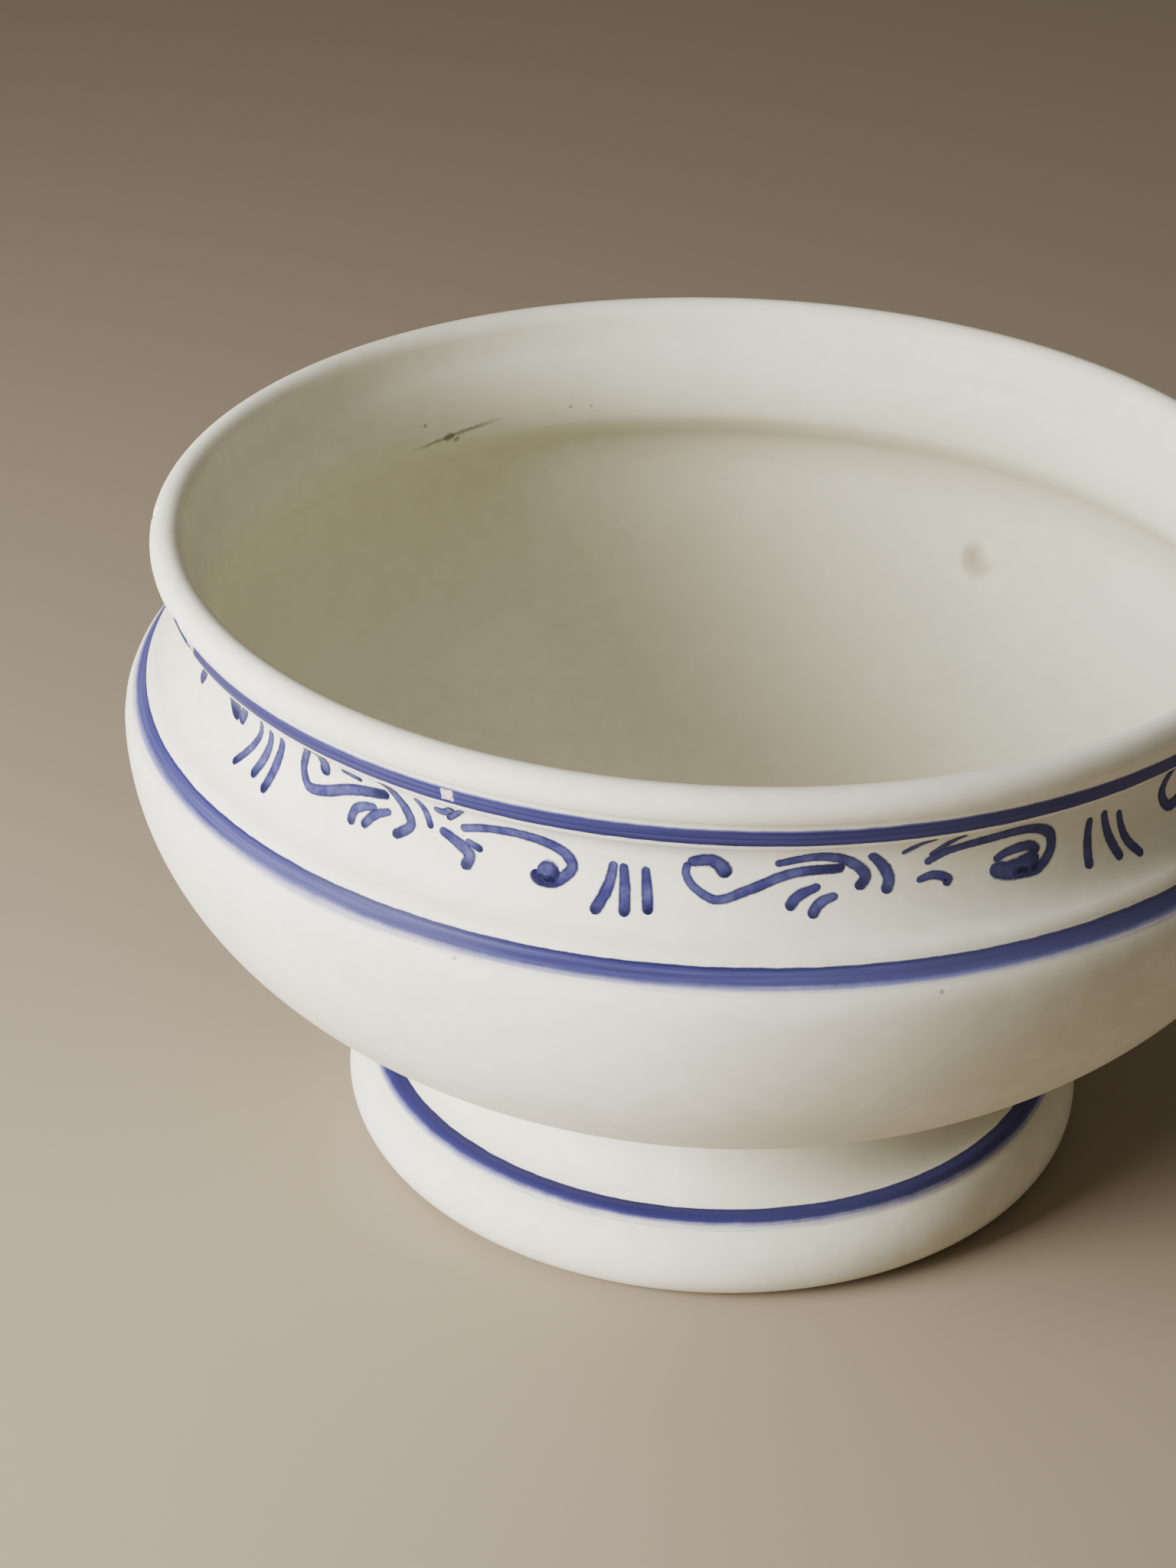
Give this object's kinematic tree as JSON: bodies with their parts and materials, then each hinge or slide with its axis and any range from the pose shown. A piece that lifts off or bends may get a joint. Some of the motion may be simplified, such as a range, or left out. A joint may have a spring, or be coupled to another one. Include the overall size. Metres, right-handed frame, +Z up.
{
  "type": "punch bowl",
  "caption": "Round footed punch bowl in white glazed earthenware, with a rolled lip, a coved neck, a deep round belly and a hollow pedestal foot.",
  "frame": {"origin": "centre of the standing ring, on the plane that the bowl stands on", "axes": "+Z up along the axis that the bowl is turned about; -Y is the side seen first"},
  "size_m": [0.2958, 0.2958, 0.168],
  "materials": {
    "glaze": "warm white satin glaze with cobalt blue painting",
    "foot_glaze": "warm white satin glaze, bare clay on the standing ring",
    "slip": "slip under glaze",
    "cobalt": "cobalt blue painted under the glaze"
  },
  "bodies": {
    "root": {"bowl": "glaze", "foot": "foot_glaze", "slip_ring": "slip"}
  },
  "joints": []
}
